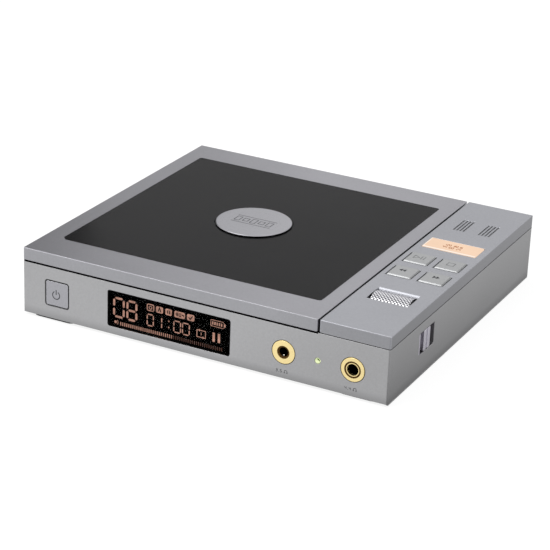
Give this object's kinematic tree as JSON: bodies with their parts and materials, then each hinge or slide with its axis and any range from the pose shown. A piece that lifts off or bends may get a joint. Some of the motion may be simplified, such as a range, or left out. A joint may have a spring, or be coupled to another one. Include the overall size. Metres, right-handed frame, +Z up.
{
  "type": "portable cd player",
  "caption": "Slim portable disc player with a hinged glass-topped lid over the disc well, a strip of keys with a volume wheel, and a front display with two headphone sockets.",
  "frame": {"origin": "on the table under the middle of the player, at the soles of its feet", "axes": "+Z up, +X to the right seen from the front, -Y towards the front face with the display"},
  "size_m": [0.16, 0.1442, 0.0296],
  "materials": {
    "case_metal": "fine bead-blasted, anodised grey",
    "lid_metal": "fine bead-blasted, anodised grey with bright cut edges",
    "key_metal": "anodised grey with bright front chamfers",
    "smoked_glass": "polished, smoked nearly black",
    "badge_metal": "satin with a bright chamfer",
    "black_plastic": "fine matt moulding",
    "display_plastic": "dark moulding",
    "rubber": "matt black",
    "steel": "plain bright steel",
    "gold_plate": "bright gold plating",
    "lit_label": "evenly lit peach diffuser",
    "lit_green": "lit yellow-green",
    "circuit_board": "green solder mask",
    "cell_wrap": "blue film wrap",
    "lens_glass": "coated lens",
    "gear_nylon": "white moulding",
    "gear_brass": "turned"
  },
  "bodies": {
    "player": {"main_case": "case_metal", "bottom_cover": "case_metal", "bottom_screw_front_left": "steel", "bottom_screw_front_right": "steel", "bottom_screw_rear_left": "steel", "bottom_screw_rear_right": "steel", "foot_front_left": "rubber", "foot_front_right": "rubber", "foot_rear_left": "rubber", "foot_rear_right": "rubber", "control_deck": "lid_metal", "light_panel": "lit_label", "grille_mesh": "black_plastic", "display_window": "smoked_glass", "display_module": "display_plastic", "jack_3_5_collar": "gold_plate", "jack_3_5_socket": "black_plastic", "jack_4_4_collar": "gold_plate", "jack_4_4_socket": "black_plastic", "status_light": "lit_green", "disc_tray": "black_plastic", "mech_chassis": "steel", "spindle_motor": "steel", "guide_rod_front": "steel", "guide_rod_rear": "steel", "feed_motor": "steel", "main_board": "circuit_board", "control_board": "circuit_board", "power_board": "circuit_board", "battery": "cell_wrap", "usb_c_socket": "steel", "tray_magnet": "steel", "hinge_pin_left": "steel", "hinge_pin_right": "steel", "volume_encoder": "black_plastic", "selector_switch": "black_plastic"},
    "lid": {"lid_frame": "lid_metal", "lid_glass": "smoked_glass", "lid_badge": "badge_metal", "lid_hinge_left": "steel", "lid_hinge_right": "steel", "lid_magnet": "steel", "lid_bumper_left": "rubber", "lid_bumper_right": "rubber"},
    "play_pause_key": {"play_pause_button": "key_metal"},
    "stop_key": {"stop_button": "key_metal"},
    "previous_key": {"previous_button": "key_metal"},
    "next_key": {"next_button": "key_metal"},
    "power_key": {"power_button": "key_metal"},
    "wheel": {"volume_wheel": "steel", "volume_axle": "steel"},
    "selector": {"selector_knob": "steel"},
    "spindle": {"spindle_hub": "black_plastic", "spindle_shaft": "steel"},
    "sled": {"pickup_sled": "black_plastic", "pickup_lens": "lens_glass", "sled_rack": "gear_nylon"},
    "reduction_gear": {"feed_gear": "gear_nylon"},
    "pinion": {"motor_pinion": "gear_brass"}
  },
  "joints": [
    {"name": "lid_hinge", "type": "hinge", "parent": "player", "child": "lid", "pos_m": [-0.01495, 0.069, 0.0199], "axis": [-1, 0, 0], "range_deg": [0, 80]},
    {"name": "play_pause_key_press", "type": "slide", "parent": "player", "child": "play_pause_key", "axis": [0, 0, -1], "range_m": [0, 0.0005], "stiffness_N_per_m": 400, "springref_m": -0.0005},
    {"name": "stop_key_press", "type": "slide", "parent": "player", "child": "stop_key", "axis": [0, 0, -1], "range_m": [0, 0.0005], "stiffness_N_per_m": 400, "springref_m": -0.0005},
    {"name": "previous_key_press", "type": "slide", "parent": "player", "child": "previous_key", "axis": [0, 0, -1], "range_m": [0, 0.0005], "stiffness_N_per_m": 400, "springref_m": -0.0005},
    {"name": "next_key_press", "type": "slide", "parent": "player", "child": "next_key", "axis": [0, 0, -1], "range_m": [0, 0.0005], "stiffness_N_per_m": 400, "springref_m": -0.0005},
    {"name": "power_key_press", "type": "slide", "parent": "player", "child": "power_key", "axis": [0, 1, 0], "range_m": [0, 0.0005], "stiffness_N_per_m": 400, "springref_m": -0.0005},
    {"name": "volume_wheel_turn", "type": "hinge", "parent": "player", "child": "wheel", "pos_m": [0.0653, -0.0376, 0.0224], "axis": [1, 0, 0], "continuous": true},
    {"name": "selector_slide", "type": "slide", "parent": "player", "child": "selector", "axis": [0, 1, 0], "range_m": [-0.0035, 0.0035]},
    {"name": "spindle_spin", "type": "hinge", "parent": "player", "child": "spindle", "pos_m": [-0.01495, 0, 0.019], "axis": [0, 0, 1], "continuous": true},
    {"name": "sled_slide", "type": "slide", "parent": "player", "child": "sled", "axis": [1, 0, 0], "range_m": [0, 0.034]},
    {"name": "feed_gear_spin", "type": "hinge", "parent": "player", "child": "reduction_gear", "pos_m": [0.00905, -0.0188, 0.008], "axis": [0, 0, 1], "range_deg": [-560, 0]},
    {"name": "motor_pinion_spin", "type": "hinge", "parent": "player", "child": "pinion", "pos_m": [-0.00057, -0.02605, 0.0065], "axis": [0, 0, 1], "range_deg": [0, 1680]}
  ],
  "couplings": [
    {"joint": "feed_gear_spin", "follows": "sled_slide", "rad_per_m": -285.71},
    {"joint": "motor_pinion_spin", "follows": "sled_slide", "rad_per_m": 857.14}
  ]
}
